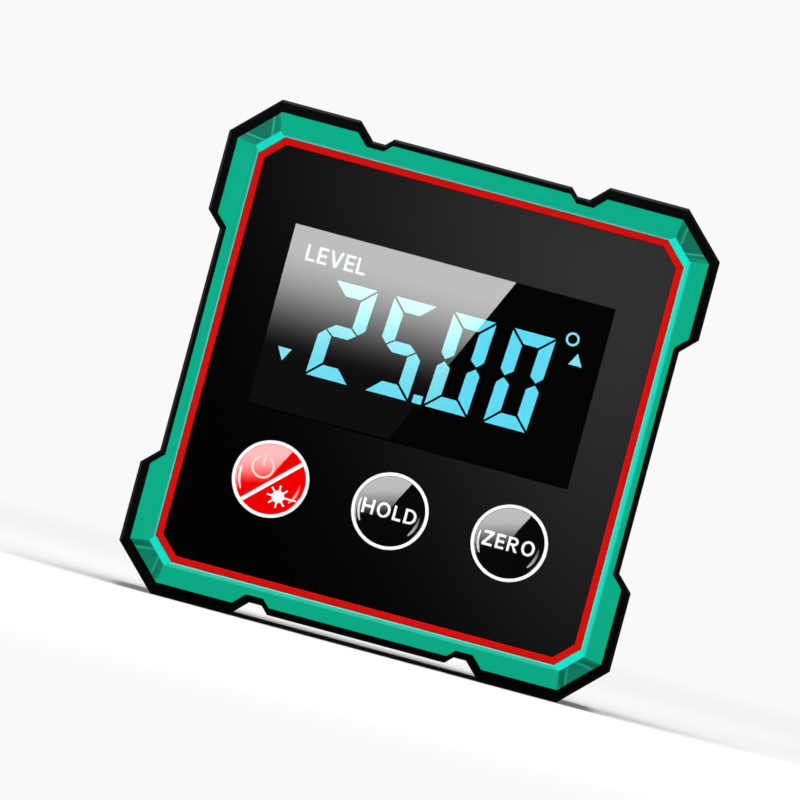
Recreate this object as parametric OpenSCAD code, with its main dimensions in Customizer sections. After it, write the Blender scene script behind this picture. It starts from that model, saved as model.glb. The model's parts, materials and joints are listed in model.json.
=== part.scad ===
// Digital angle gauge: a square pocket inclinometer with a lit display, three push buttons,
// a laser in each flank, a magnetic base and a battery door in the back.
// It stands on its base with its front towards -Y. Sizes are in millimetres.

/* [Body] */
// Width of the body over its corner pads
body_w = 60; // [54:0.5:72]
// Height of the body over its corner pads
body_h = 60.4; // [54.4:0.2:72]
// Depth from the frame's face to the back
body_d = 30; // [29.5:0.5:40]
// Thickness of the housing's walls
wall = 1.6; // [1.2:0.1:2]
// Chamfer across each corner of the outline
corner_chamfer = 5.15; // [4.4:0.1:6]
// Length of each corner pad along its edge
pad_len = 9.6; // [9.2:0.1:11]
// Depth of the notch beside each pad, on the top and the base
notch_depth = 2; // [1.6:0.1:2.4]
// Length of the notch's floor
notch_len = 1.5; // [0.8:0.1:3]
// Drop of the middle plateau below the pads, on the top and the base
plateau_drop = 1.1; // [0.5:0.1:1.5]
// Depth of the recess along the middle of each flank
side_recess = 1.9; // [1:0.1:2.3]
// Small bevel on the housing's front rim
rim_edge = 0.3; // [0.1:0.05:0.4]
// Small bevel on each side of the seam between housing and back cover
seam_edge = 0.25; // [0.1:0.05:0.4]

/* [Front frame] */
// Rim of the housing left showing outside the frame, on the flank pads
rim_side = 1.25; // [0.8:0.05:1.6]
// Rim left showing on the top and base pads
rim_top = 1.5; // [0.9:0.05:1.8]
// Rim left showing along the flank recesses
rim_recess = 0.78; // [0.5:0.02:1]
// Rim left showing along the notches and plateaus
rim_notch = 0.9; // [0.6:0.05:1.1]
// Width of the frame where it is narrowest, beside the flank recesses
frame_wall = 1.34; // [1:0.02:2]
// Chamfer across each corner of the frame
frame_chamfer = 4.26; // [3.6:0.02:5]
// Frame left under the panel, above the housing's rim
frame_floor = 0.2; // [0.1:0.05:1]
// Thickness of the ledge that carries the panel
ledge_t = 1.4; // [1:0.1:2]
// Width of that ledge
ledge_w = 1.7; // [1.2:0.1:2.2]
// Width of the bevel that leads down to the trim ring
bevel_w = 0.55; // [0.2:0.05:0.8]
// Width of that bevel across the corners
bevel_corner = 0.95; // [0.6:0.05:1.2]
// Depth of each corner facet along its inner edge
facet_in = 0.25; // [0.1:0.05:0.4]
// Depth of each corner facet along its outer edge
facet_out = 0.8; // [0.4:0.05:1.2]
// Run of the sloped wall at each end of a corner facet
facet_end = 0.65; // [0.2:0.05:0.8]
// Depth of the skirt that locates the frame in the housing
skirt_h = 2.2; // [1.6:0.1:2.4]
// Thickness of that skirt
skirt_t = 1.2; // [0.8:0.1:1.6]

/* [Front panel] */
// Thickness of the panel
panel_t = 1.5; // [1.3:0.1:2.5]
// Depth of the panel's face below the frame's face
panel_sink = 0.7; // [0.5:0.05:1.2]
// Width of the trim ring round the panel
ring_w = 0.86; // [0.5:0.02:1.4]
// Depth of the trim ring's face below the frame's face
ring_sink = 0.5; // [0.2:0.05:0.6]
// Chamfer across the trim ring's outer corners
ring_chamfer = 2.62; // [2:0.02:3.4]
// Clearance round pieces that drop into one another
fit_gap = 0.05; // [0.03:0.01:0.1]

/* [Display] */
// Width of the display window
window_w = 39; // [34:0.5:41]
// Distance from the upper edge of the trim ring down to the window
window_top = 9.53; // [9.2:0.01:12]
// Distance from the lower edge of the trim ring up to the window
window_base = 20.46; // [20.2:0.02:24]
// Lip round the back of the window
window_lip = 1; // [0.6:0.1:1.4]
// Thickness of that lip
window_lip_t = 0.5; // [0.3:0.05:0.8]
// Depth of the window's face below the panel's face
window_sink = 0.1; // [0.05:0.01:0.2]
// Margin of the display glass past the window
glass_margin = 1.5; // [1:0.1:1.6]
// Thickness of the display glass
glass_t = 2; // [1.5:0.1:2.4]
// Thickness of the backlight
backlight_t = 2; // [1.8:0.1:2.4]
// Wall of the holder round the display
holder_wall = 1; // [0.8:0.1:1.2]
// Thickness of the circuit board
board_t = 1.2; // [0.8:0.1:1.6]

/* [Buttons] */
// Distance from the side of the trim ring to the middle of the outer button
button_side = 11.4; // [9:0.05:13]
// Distance from the lower edge of the trim ring up to the buttons' middle
button_up = 12.5; // [10:0.05:12.8]
// Outside diameter of the collar round each button
collar_d = 9.15; // [8.4:0.05:9.4]
// Width of the collar's face
collar_w = 0.4; // [0.3:0.02:0.7]
// Running clearance between button and collar
button_gap = 0.1; // [0.06:0.02:0.2]
// Rise of the button's dome from its rim to its top
button_crown = 0.4; // [0.2:0.05:0.6]
// Travel of a button when it is pressed
button_travel = 0.4; // [0.2:0.05:0.5]

/* [Lasers] */
// Diameter of a laser module's barrel
laser_d = 6; // [5:0.1:6.4]
// Length of the barrel
laser_len = 14; // [10:0.5:18]
// Diameter of the window in front of each laser
laser_window_d = 6; // [5:0.1:7]
// Thickness of that window
laser_window_t = 0.8; // [0.5:0.05:1]

/* [Power] */
// Diameter of a battery cell
cell_d = 10.5; // [10:0.1:10.8]
// Clearance between the battery box and each flank
box_side_gap = 0.6; // [0.3:0.1:1]
// Length of a contact spring under load
spring_len = 4.2; // [3.4:0.1:4.6]
// Wall of the battery box
box_wall = 1; // [0.8:0.1:1.2]
// Thickness of the back cover
cover_t = 2.6; // [2.4:0.1:3.4]
// Bevel round the back edge of the cover
cover_edge = 0.8; // [0.4:0.1:1.2]
// Thickness of the battery door
door_t = 1.4; // [1.2:0.1:1.6]
// Overlap of the door on the ledge round the battery box
door_lap = 1.2; // [0.9:0.1:1.5]

/* [Base] */
// Diameter of each base magnet
magnet_d = 7; // [5:0.1:7.4]
// Thickness of each base magnet
magnet_t = 3; // [2:0.1:3.4]
// Distance from the housing's front and rear edges to the nearest magnet's middle
magnet_edge = 7; // [6.6:0.1:7.8]

/* [Fasteners] */
// Diameter of a cover screw's shank
cover_screw_d = 2; // [1.8:0.1:2.4]
// Length of a cover screw under its head
cover_screw_len = 8; // [6:0.5:10]
// Diameter of a board screw's shank
board_screw_d = 1.6; // [1.4:0.1:1.8]

/* [Hidden] */
$fn = 64;

// Overshoot of a cut past the face that it opens
over = 0.5;

// Heights and depths, measured up from the base and towards the front from mid-depth
mid_y = body_h / 2;
front_z = body_d / 2;
back_z = -body_d / 2;
seam_z = back_z + cover_t;
panel_face_z = front_z - panel_sink;
ledge_z = panel_face_z - panel_t;
rim_z = ledge_z - frame_floor;
glass_gap = 0.2;
glass_top_z = ledge_z - glass_gap;
glass_z = glass_top_z - glass_t;
board_front_z = glass_z - backlight_t;
board_back_z = board_front_z - board_t;

// Half sizes of the body's outline and of the frame's
half_w = body_w / 2;
half_h = body_h / 2;
pad_x = half_w - corner_chamfer - pad_len;
pad_y = half_h - corner_chamfer - pad_len;
notch_x = pad_x - notch_depth - notch_len;
frame_half_w = half_w - rim_side;
frame_half_h = half_h - rim_top;
flank_x = half_w - side_recess;
flank_in_x = flank_x - wall;

// Half sizes of the pocket that the trim ring and the panel sit in
pocket_w = flank_x - rim_recess - frame_wall;
pocket_h = half_h - notch_depth - rim_notch - frame_wall;

// Display, in the panel's plane
window_h = 2 * pocket_h - window_top - window_base;
window_up = (window_base - window_top) / 2;
window_y = mid_y + window_up;
glass_w = window_w + 2 * glass_margin;
glass_h = window_h + 2 * glass_margin;
strip_t = 1.6;
strip_edge = 0.4;
backlight_h = glass_h - 2 * (strip_t + 2 * strip_edge);
strip_inset = 2;
holder_grip = 0.6;
holder_h = backlight_t + holder_grip;
holder_grow = fit_gap + holder_wall;

// Buttons
button_pitch = pocket_w - button_side;
button_y = mid_y - pocket_h + button_up;
collar_r = collar_d / 2;
button_r = collar_r - collar_w - button_gap;
collar_flange_w = 0.5;
collar_flange_r = collar_r + collar_flange_w;
collar_flange_t = 0.4;
collar_proud = 0.1;
button_flange_w = 0.2;
button_flange_r = collar_r + button_flange_w;
button_flange_t = 0.7;
flange_gap = 0.1;
button_flange_z = ledge_z - collar_flange_t - flange_gap - button_flange_t;
button_proud = 0.05;
button_top_z = panel_face_z + button_proud + button_crown;
plunger_d = 3.2;
plunger_len = 2;
switch_w = 5.2;
switch_h = 2;
bore_gap = 0.2;

// Posts that carry the circuit board
post_d = 4;
post_inset = 4.4;
post_cap = 0.4;
post_x = pocket_w - post_inset;
post_y = pocket_h - post_inset;
screw_gap = 0.4;
board_hole_d = board_screw_d + screw_gap;
board_edge = 0.9;
board_chamfer = 3;
board_screw_bite = 2.6;

// Pieces on the back of the board, measured from the body's middle
chip_w = 7;
chip_t = 1.4;
chip_down = 9;
sensor_w = 3;
sensor_t = 1;
sensor_right = 6;
sensor_up = 9;
crystal_d = 2;
crystal_len = 6;
crystal_left = 8;
crystal_down = 12;

// Battery box, door and cells
contact_t = 0.4;
contact_tip = 0.3;
cell_gap = 0.4;
cell_split = 0.4;
cell_side = 0.3;
box_half_w = flank_in_x - box_wall - box_side_gap;
box_half_h = cell_d + cell_split / 2 + cell_side;
cell_len = 2 * (box_half_w - contact_t) - contact_tip - spring_len;
tip_d = 3.8;
tip_len = 1.2;
cell_y = (cell_d + cell_split) / 2;
cell_z = back_z + door_t + cell_gap + cell_d / 2;
cell_roof = 0.2;
box_front_t = 1.2;
box_floor_z = cell_z + cell_d / 2 + cell_roof;
box_front_z = box_floor_z + box_front_t;
door_gap = 0.1;
door_half_w = box_half_w + door_lap;
door_half_h = box_half_h + door_lap;
hinge_y = mid_y - door_half_h + door_t / 2;
hinge_z = back_z + door_t / 2;
hook_x = 14;
hook_w = 5;
hook_t = 0.8;
hook_gap = 0.15;
hook_side = 0.3;
hook_reach = 0.25;
hook_leg_y = mid_y - box_half_h + hook_gap;
hook_tip_y = hinge_y - hook_reach;
hook_z = hinge_z + norm([mid_y - box_half_h - hinge_y, seam_z - hinge_z]) + hook_gap;
tab_w = 11;
tab_rise = 1.8;
tab_gap = 0.2;
latch_gap = 0.4;
latch_y = mid_y + box_half_h - latch_gap;
groove_count = 4;
groove_pitch = 1.2;
groove_w = 0.6;
groove_h = 0.4;
groove_end = 1;
contact_x = box_half_w - contact_t / 2;
contact_half = 4;
contact_in = cell_y - contact_half;
contact_out = cell_y + contact_half;
contact_lift = 1;
contact_boss_d = 5;

// Leads, with the holes where the battery leads leave their box
lead_d = 1;
lead_hole_d = 1.4;
lead_in = 1.6;
lead_edge = 1.2;
lead_bend = 3.4;
lead_rise = 2;
lead_gap = 0.1;
laser_lead_run = 3;

// Lasers
laser_z = (board_back_z + box_front_z) / 2;
socket_len = 4;
socket_wall = 0.9;
laser_stop = 0.7;
lens_depth = 1.5;
window_inset = 0.1;
window_seat = laser_window_t + window_inset;

// Base magnets
magnet_x = (pad_x + half_w - corner_chamfer) / 2;
magnet_sink = 0.15;
magnet_wall = 1;
magnet_roof = 1.2;
magnet_mid_z = (rim_z + seam_z) / 2;
magnet_pitch = rim_z - seam_z - 2 * magnet_edge;

// Cover screws and the bosses that take them
boss_d = 5.4;
boss_len = 10;
boss_bite = 0.5;
boss_floor = 1;
boss_in = corner_chamfer / 2 + (wall + boss_d / 2 - boss_bite) / sqrt(2);
boss_x = half_w - boss_in;
boss_y = half_h - boss_in;
head_d = 2 * cover_screw_d;
head_h = 1.3;
head_sink = 0.1;
board_head_rim = 0.9;
board_head_d = board_screw_d + 2 * board_head_rim;
board_head_h = 1.1;
thread_gap = 0.05;

// Colours
black = [0.03, 0.03, 0.035];
teal = [0.0, 0.66, 0.52];
red = [0.85, 0.04, 0.04];
white = [0.93, 0.93, 0.93];
steel = [0.7, 0.71, 0.73];
brass = [0.75, 0.6, 0.3];

// Direction of a vector
function unit(v) = v / norm(v);
// A flat vector turned a quarter turn to the left
function left_of(v) = [-v[1], v[0]];
// Points mirrored across the upright axis, in reverse order
function flip_x(points) = [for (i = [len(points) - 1 : -1 : 0]) [-points[i][0], points[i][1]]];
// An outline from its upper half, which has the same shape upside down
function with_half_turn(points) = concat(points, [for (p = points) -p]);

// The gauge's outline, counter-clockwise about its middle: corner pads, notches beside them on the
// top and the base, a plateau between the notches, and one long recess in each flank
function gauge_outline(hw, hh, chamfer, recess, notch, drop, side_end) =
    let (quarter = [
        [hw - recess, side_end - recess],
        [hw, side_end],
        [hw, hh - chamfer],
        [hw - chamfer, hh],
        [pad_x, hh],
        [pad_x - notch, hh - notch],
        [notch_x, hh - notch],
        [notch_x - (notch - drop), hh - drop]
    ])
    with_half_turn(concat(quarter, flip_x(quarter)));

// A rectangle with cut corners
function octagon(hw, hh, chamfer) =
    let (quarter = [[hw, hh - chamfer], [hw - chamfer, hh]])
    with_half_turn(concat(quarter, flip_x(quarter)));

// An octagon grown evenly on all its sides
function grown_octagon(hw, hh, chamfer, d) = octagon(hw + d, hh + d, chamfer + d * (2 - sqrt(2)));

// The edge of the bevel round the trim ring's pocket, a share of the way out from the pocket
function bevel_edge(share) = octagon(
    pocket_w + share * bevel_w,
    pocket_h + share * bevel_w,
    ring_chamfer + share * (2 * bevel_w - sqrt(2) * bevel_corner));

// A counter-clockwise outline moved inwards, with mitred corners
function inset(points, d) =
    let (n = len(points))
    [for (i = [0 : n - 1])
        let (
            before = left_of(unit(points[i] - points[(i + n - 1) % n])),
            after = left_of(unit(points[(i + 1) % n] - points[i]))
        )
        points[i] + (before + after) * d / (1 + before * after)];

// A flat outline lifted to one height
function at_height(points, z) = [for (p = points) [p[0], p[1], z]];

// Rings of points round a path, for a wire of one thickness
function ring_on(path, i, radius, sides, across) =
    let (
        last = len(path) - 1,
        along = unit(path[min(i + 1, last)] - path[max(i - 1, 0)]),
        u = unit(cross(along, across)),
        v = cross(along, u)
    )
    [for (k = [0 : sides - 1]) path[i] + radius * (cos(360 * k / sides) * u + sin(360 * k / sides) * v)];

body_outline = gauge_outline(
    half_w, half_h, corner_chamfer, side_recess, notch_depth, plateau_drop, pad_y);
frame_outline = gauge_outline(
    frame_half_w, frame_half_h, frame_chamfer,
    frame_half_w - (flank_x - rim_recess),
    frame_half_h - (half_h - notch_depth - rim_notch),
    frame_half_h - (half_h - plateau_drop - rim_notch),
    pad_y - rim_side + rim_recess * sqrt(2));

// Stands a piece modelled face up on its base, with its front towards -Y
module stand() rotate([90, 0, 0]) children();

// A flat outline about the body's middle, extruded between two depths
module slab(points, z0, z1) translate([0, mid_y, z0]) linear_extrude(z1 - z0) polygon(points);

// A solid through loops of points, from the rearmost loop to the foremost
module loft(loops) {
    n = len(loops[0]);
    last = len(loops) - 1;
    sides = [for (j = [0 : last - 1], i = [0 : n - 1])
        [j * n + i, (j + 1) * n + i, (j + 1) * n + (i + 1) % n, j * n + (i + 1) % n]];
    ends = [[for (i = [0 : n - 1]) i], [for (i = [n - 1 : -1 : 0]) last * n + i]];
    polyhedron([for (loop = loops) each loop], concat(sides, ends), convexity = 6);
}

// A slab with a bevel round its rear edge and its front edge
module bevelled_slab(points, z0, z1, rear_edge, front_edge) intersection() {
    past = 0.2;
    translate([0, mid_y, 0]) loft([
        at_height(inset(points, rear_edge + past), z0 - past),
        at_height(points, z0 + rear_edge),
        at_height(points, z1 - front_edge),
        at_height(inset(points, front_edge + past), z1 + past)
    ]);
    box_between([-body_w, -over, z0], [body_w, body_h + over, z1]);
}

// A box given by its lowest and highest corners
module box_between(low, high) translate(low) cube(high - low);

// A round bar along X, from one end to the other
module bar_x(x0, x1, d) translate([x0, 0, 0]) rotate([0, 90, 0]) cylinder(d = d, h = x1 - x0);

// A wire along a path
module wire(path, d, sides, across)
    loft([for (i = [0 : len(path) - 1]) ring_on(path, i, d / 2, sides, across)]);

// Copies at the four corners of a rectangle about the body's middle
module at_corners(x, y) for (sx = [-1, 1], sy = [-1, 1])
    translate([sx * x, mid_y + sy * y, 0]) children();

// A pan-head screw with a cross recess, its head's seat at zero and its shank towards the front
module screw(shank_d, shank_len, head_d, head_h) {
    slot_w = head_d / 6;
    slot_len = head_d * 0.6;
    slot_h = head_h * 0.55;
    cylinder(d = shank_d, h = shank_len);
    difference() {
        translate([0, 0, -head_h]) cylinder(d = head_d, h = head_h);
        for (turn = [0, 90]) rotate(turn) box_between(
            [-slot_len / 2, -slot_w / 2, -head_h - over],
            [slot_len / 2, slot_w / 2, slot_h - head_h]);
    }
}

// The moulded tube that everything is built into: bosses for the cover screws in its corners,
// pockets for the magnets in its feet, and a socket with a window seat for a laser in each flank
module main_housing() color(black) stand() difference() {
    union() {
        difference() {
            bevelled_slab(body_outline, seam_z, rim_z, seam_edge, rim_edge);
            slab(inset(body_outline, wall), seam_z - over, rim_z + over);
        }
        at_corners(boss_x, boss_y) translate([0, 0, seam_z]) cylinder(d = boss_d, h = boss_len);
        magnet_places() translate([0, wall / 2, 0]) rotate([-90, 0, 0])
            cylinder(d = magnet_d + 2 * magnet_wall, h = magnet_sink + magnet_t + magnet_roof - wall / 2);
        laser_places()
            bar_x(flank_in_x - socket_len, flank_in_x + wall / 2, laser_d + 2 * (fit_gap + socket_wall));
    }
    at_corners(boss_x, boss_y) translate([0, 0, seam_z - over])
        cylinder(d = cover_screw_d + 2 * thread_gap, h = boss_len - boss_floor + over);
    magnet_places() translate([0, -over, 0]) rotate([-90, 0, 0])
        cylinder(d = magnet_d + 2 * fit_gap, h = magnet_sink + magnet_t + over);
    laser_places() {
        bar_x(flank_in_x - socket_len - over, flank_in_x, laser_d + 2 * fit_gap);
        bar_x(flank_in_x - over, flank_x, laser_window_d - 2 * laser_stop);
        bar_x(flank_x - window_seat, flank_x + over, laser_window_d + 2 * fit_gap);
    }
}

// Children at the four magnets' places, which lie two to a foot
module magnet_places() for (sx = [-1, 1], sz = [-1, 1])
    translate([sx * magnet_x, 0, magnet_mid_z + sz * magnet_pitch / 2]) children();

// Children on each laser's axis, turned so that +X points out of its flank
module laser_places() for (side = [-1, 1]) laser_place(side) children();

module laser_place(side) translate([0, mid_y, laser_z]) rotate([0, 0, side > 0 ? 0 : 180]) children();

// The back: a plate with a bevelled edge, the battery box moulded on its inside, a seat for the door
// with a finger notch, slots for the door's hooks, ribs that locate it in the housing, and screw holes
module back_cover() color(black) stand() difference() {
    union() {
        bevelled_slab(body_outline, back_z, seam_z, cover_edge, seam_edge);
        box_between(
            [-box_half_w - box_wall, mid_y - box_half_h - box_wall, seam_z - over],
            [box_half_w + box_wall, mid_y + box_half_h + box_wall, box_front_z]);
        cover_ribs();
    }
    box_between(
        [-box_half_w, mid_y - box_half_h, back_z - over],
        [box_half_w, mid_y + box_half_h, box_floor_z]);
    box_between(
        [-door_half_w - door_gap, mid_y - door_half_h - door_gap, back_z - over],
        [door_half_w + door_gap, mid_y + door_half_h + door_gap, back_z + door_t + door_gap]);
    box_between(
        [-tab_w / 2 - tab_gap, mid_y, back_z - over],
        [tab_w / 2 + tab_gap, mid_y + door_half_h + tab_rise + tab_gap, back_z + door_t + door_gap]);
    for (side = [-1, 1]) box_between(
        [side * hook_x - hook_w / 2 - hook_side, mid_y - box_half_h - box_wall - over, seam_z],
        [side * hook_x + hook_w / 2 + hook_side, mid_y - box_half_h + over, hook_z + hook_t + latch_gap]);
    at_corners(boss_x, boss_y) {
        translate([0, 0, back_z - over]) cylinder(d = head_d + screw_gap, h = head_h + head_sink + over);
        translate([0, 0, back_z]) cylinder(d = cover_screw_d + screw_gap, h = cover_t + over);
    }
    lead_holes();
}

// Ribs on the cover that slip inside the housing along its plateaus and flanks
module cover_ribs() {
    rib_t = 1;
    rib_h = 1.6;
    rib_in = 2;
    pip_w = 1.2;
    pip_t = 0.4;
    rib_z = seam_z + rib_h / 2 - over / 2;
    long_x = notch_x - notch_depth;
    long_y = pad_y - side_recess - rib_in;
    top_y = half_h - plateau_drop - wall - fit_gap;
    side_x = flank_in_x - fit_gap;
    for (s = [-1, 1]) {
        translate([0, mid_y + s * (top_y - rib_t / 2), rib_z])
            cube([2 * long_x, rib_t, rib_h + over], center = true);
        for (t = [-1, 1]) translate([s * (side_x - pip_t / 2), mid_y + t * (long_y - pip_w / 2), rib_z])
            cube([pip_t, pip_w, rib_h + over], center = true);
    }
}

// Holes in the battery box's front wall where the two leads come out
module lead_holes() for (s = [-1, 1])
    translate([box_half_w - lead_in, mid_y + s * (box_half_h - lead_edge), box_floor_z - over])
        cylinder(d = lead_hole_d, h = box_front_z - box_floor_z + 2 * over);

// The battery door: a plate with a round lower edge that turns in its seat, two hooks under the
// cover's ledge, a thumb tab with grip grooves and the leg of its latch
module battery_door() color(black) stand() difference() {
    top_y = mid_y + door_half_h;
    in_z = back_z + door_t;
    union() {
        box_between([-door_half_w, hinge_y, back_z], [door_half_w, top_y, in_z]);
        translate([0, hinge_y, hinge_z]) bar_x(-door_half_w, door_half_w, door_t);
        box_between([-tab_w / 2, top_y - over, back_z], [tab_w / 2, top_y + tab_rise, in_z]);
        for (side = [-1, 1]) translate([side * hook_x - hook_w / 2, 0, 0]) {
            box_between([0, hook_leg_y, in_z - over], [hook_w, hook_leg_y + hook_t, hook_z + hook_t]);
            box_between([0, hook_tip_y, hook_z], [hook_w, hook_leg_y + hook_t, hook_z + hook_t]);
        }
        box_between(
            [-tab_w / 2, latch_y - hook_t, in_z - over],
            [tab_w / 2, latch_y, hook_z + hook_t]);
    }
    for (i = [0 : groove_count - 1]) box_between(
        [-tab_w / 2 + groove_end, top_y + tab_rise - (i + 1) * groove_pitch, back_z - over],
        [tab_w / 2 - groove_end, top_y + tab_rise - (i + 1) * groove_pitch + groove_w, back_z + groove_h]);
}

// The front frame: bevelled round the panel, with a sunken sloping facet across each corner, a ledge
// for the panel, a skirt that locates it in the housing and posts for the circuit board
module front_frame() color(teal) stand() difference() {
    skirt_outline = inset(body_outline, wall + fit_gap);
    opening_w = pocket_w - ledge_w;
    opening_h = pocket_h - ledge_w;
    opening_cut = opening_w - post_x + opening_h - post_y + post_d / 2 * sqrt(2);
    union() {
        slab(frame_outline, rim_z, front_z);
        difference() {
            slab(skirt_outline, rim_z - skirt_h, rim_z);
            slab(inset(skirt_outline, skirt_t), rim_z - skirt_h - over, ledge_z - ledge_t);
        }
        board_posts();
    }
    slab(octagon(pocket_w, pocket_h, ring_chamfer), ledge_z, front_z + over);
    difference() {
        slab(octagon(opening_w, opening_h, opening_cut), rim_z - skirt_h - over, front_z);
        board_posts();
    }
    frame_bevel();
    for (sx = [0, 1], sy = [0, 1])
        translate([0, mid_y, 0]) mirror([sx, 0, 0]) mirror([0, sy, 0]) corner_facet();
    at_corners(post_x, post_y) translate([0, 0, board_front_z - over])
        cylinder(d = board_screw_d + 2 * thread_gap, h = post_cap + ledge_z - ledge_t - board_front_z + over);
}

// The posts behind the frame's ledge that the circuit board is screwed to
module board_posts() at_corners(post_x, post_y) translate([0, 0, board_front_z])
    cylinder(d = post_d, h = ledge_z - post_cap - board_front_z);

// The bevel from the frame's face down to the trim ring
module frame_bevel() {
    past = over / ring_sink;
    translate([0, mid_y, 0]) loft([
        at_height(bevel_edge(0), front_z - ring_sink),
        at_height(bevel_edge(1 + past), front_z + over)
    ]);
}

// The sunken facet across one corner of the frame, between the mitre lines of its chamfer
module corner_facet() {
    inner = bevel_edge(1);
    in_a = inner[0];
    in_b = inner[1];
    out_a = [frame_half_w, frame_half_h - frame_chamfer];
    out_b = [frame_half_w - frame_chamfer, frame_half_h];
    slide = unit(out_b - out_a) * facet_end;
    past = 0.6;
    lift = 0.02;
    reach_a = (out_a - in_a) * past;
    reach_b = (out_b - in_b) * past;
    sink = (facet_out - facet_in) * past;
    loft([
        concat(at_height([in_a + slide], front_z - facet_in),
            at_height([out_a + reach_a + slide, out_b + reach_b - slide], front_z - facet_out - sink),
            at_height([in_b - slide], front_z - facet_in)),
        at_height([in_a, out_a + reach_a, out_b + reach_b, in_b], front_z + lift)
    ]);
}

// The trim ring between frame and panel
module accent_ring() color(red) stand() difference() {
    slab(grown_octagon(pocket_w, pocket_h, ring_chamfer, -fit_gap), ledge_z, front_z - ring_sink);
    slab(grown_octagon(pocket_w, pocket_h, ring_chamfer, -ring_w), ledge_z - over, front_z);
}

// The black front panel, with a rebate behind the display window and a hole for each collar
module front_panel() color(black) stand() difference() {
    slab(grown_octagon(pocket_w, pocket_h, ring_chamfer, -ring_w - fit_gap), ledge_z, panel_face_z);
    window_block(fit_gap, ledge_z - over, panel_face_z + over);
    window_block(window_lip + fit_gap, ledge_z - over, ledge_z + window_lip_t);
    for (i = [-1 : 1]) button_place(i) translate([0, 0, ledge_z - over])
        cylinder(r = collar_r + fit_gap, h = panel_t + 2 * over);
}

// A block on the display window's outline, grown on all sides
module window_block(grow, z0, z1) box_between(
    [-window_w / 2 - grow, window_y - window_h / 2 - grow, z0],
    [window_w / 2 + grow, window_y + window_h / 2 + grow, z1]);

// Children at one of the buttons, counted from the middle one
module button_place(i) translate([i * button_pitch, button_y, 0]) children();

// The clear window over the display, held from behind by its lip
module display_window() color([0.1, 0.1, 0.11]) stand() union() {
    window_block(0, ledge_z, panel_face_z - window_sink);
    window_block(window_lip, ledge_z, ledge_z + window_lip_t - fit_gap);
}

// The white collar that a button slides in, with a flange behind the panel
module collar(i) color(white) stand() button_place(i) difference() {
    union() {
        translate([0, 0, ledge_z - collar_flange_t]) cylinder(r = collar_flange_r, h = collar_flange_t);
        translate([0, 0, ledge_z - collar_flange_t])
            cylinder(r = collar_r, h = panel_t + collar_flange_t + collar_proud);
    }
    translate([0, 0, ledge_z - collar_flange_t - over])
        cylinder(r = collar_r - collar_w, h = panel_t + collar_flange_t + 2 * over);
}

// A domed button with a flange that keeps it behind its collar
module push_button(i, colour) color(colour) stand() button_place(i) union() {
    dome_r = (button_r * button_r + button_crown * button_crown) / (2 * button_crown);
    translate([0, 0, button_flange_z]) cylinder(r = button_flange_r, h = button_flange_t);
    intersection() {
        translate([0, 0, button_flange_z]) cylinder(r = button_r, h = button_top_z - button_flange_z);
        translate([0, 0, button_top_z - dome_r]) sphere(r = dome_r, $fn = 160);
    }
}

// The plunger of a switch, under its button
module plunger(i) color([0.2, 0.2, 0.22]) stand() button_place(i)
    translate([0, 0, button_flange_z - plunger_len]) cylinder(d = plunger_d, h = plunger_len);

// The body of a push switch, with the bore that its plunger slides in
module switch_body(i) color([0.12, 0.12, 0.13]) stand() button_place(i) difference() {
    translate([-switch_w / 2, -switch_w / 2, board_front_z]) cube([switch_w, switch_w, switch_h]);
    translate([0, 0, button_flange_z - plunger_len - button_travel - bore_gap])
        cylinder(d = plunger_d + 2 * fit_gap, h = switch_h + 2 * plunger_len);
}

// The display glass
module display_glass() color([0.02, 0.02, 0.03]) stand() box_between(
    [-glass_w / 2, window_y - glass_h / 2, glass_z],
    [glass_w / 2, window_y + glass_h / 2, glass_top_z]);

// The open holder that keeps display glass and backlight on the board
module display_holder() color(white) stand() difference() {
    box_between(
        [-glass_w / 2 - holder_grow, window_y - glass_h / 2 - holder_grow, board_front_z],
        [glass_w / 2 + holder_grow, window_y + glass_h / 2 + holder_grow, board_front_z + holder_h]);
    box_between(
        [-glass_w / 2 - fit_gap, window_y - glass_h / 2 - fit_gap, board_front_z - over],
        [glass_w / 2 + fit_gap, window_y + glass_h / 2 + fit_gap, board_front_z + holder_h + over]);
}

// The light guide behind the display glass
module backlight() color(white) stand() box_between(
    [-glass_w / 2, window_y - backlight_h / 2, board_front_z],
    [glass_w / 2, window_y + backlight_h / 2, glass_z]);

// A rubber strip that joins one edge of the display glass to the board
module contact_strip(s) color([0.5, 0.5, 0.52]) stand()
    translate([0, window_y + s * (glass_h / 2 - strip_edge - strip_t / 2), (board_front_z + glass_z) / 2])
        cube([glass_w - 2 * strip_inset, strip_t, backlight_t], center = true);

// The circuit board, screwed to the frame's posts
module circuit_board() color([0.05, 0.3, 0.12]) stand() difference() {
    slab(octagon(pocket_w - board_edge, pocket_h - board_edge, board_chamfer), board_back_z, board_front_z);
    at_corners(post_x, post_y) translate([0, 0, board_back_z - over])
        cylinder(d = board_hole_d, h = board_t + 2 * over);
}

// A flat chip on the back of the board
module chip(x, y, w, t) color([0.05, 0.05, 0.055]) stand() box_between(
    [x - w / 2, mid_y + y - w / 2, board_back_z - t],
    [x + w / 2, mid_y + y + w / 2, board_back_z]);

// The can of the timing crystal on the back of the board
module timing_crystal() color(steel) stand()
    translate([-crystal_left, mid_y - crystal_down, board_back_z - crystal_d / 2])
        bar_x(-crystal_len / 2, crystal_len / 2, crystal_d);

// The four screws that hold the board to the frame
module board_screws() color(steel) stand() at_corners(post_x, post_y)
    translate([0, 0, board_back_z])
        screw(board_screw_d, board_t + board_screw_bite, board_head_d, board_head_h);

// The four screws that hold the back cover to the housing
module cover_screws() color(steel) stand() at_corners(boss_x, boss_y)
    translate([0, 0, back_z + head_h + head_sink]) screw(cover_screw_d, cover_screw_len, head_d, head_h);

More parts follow.
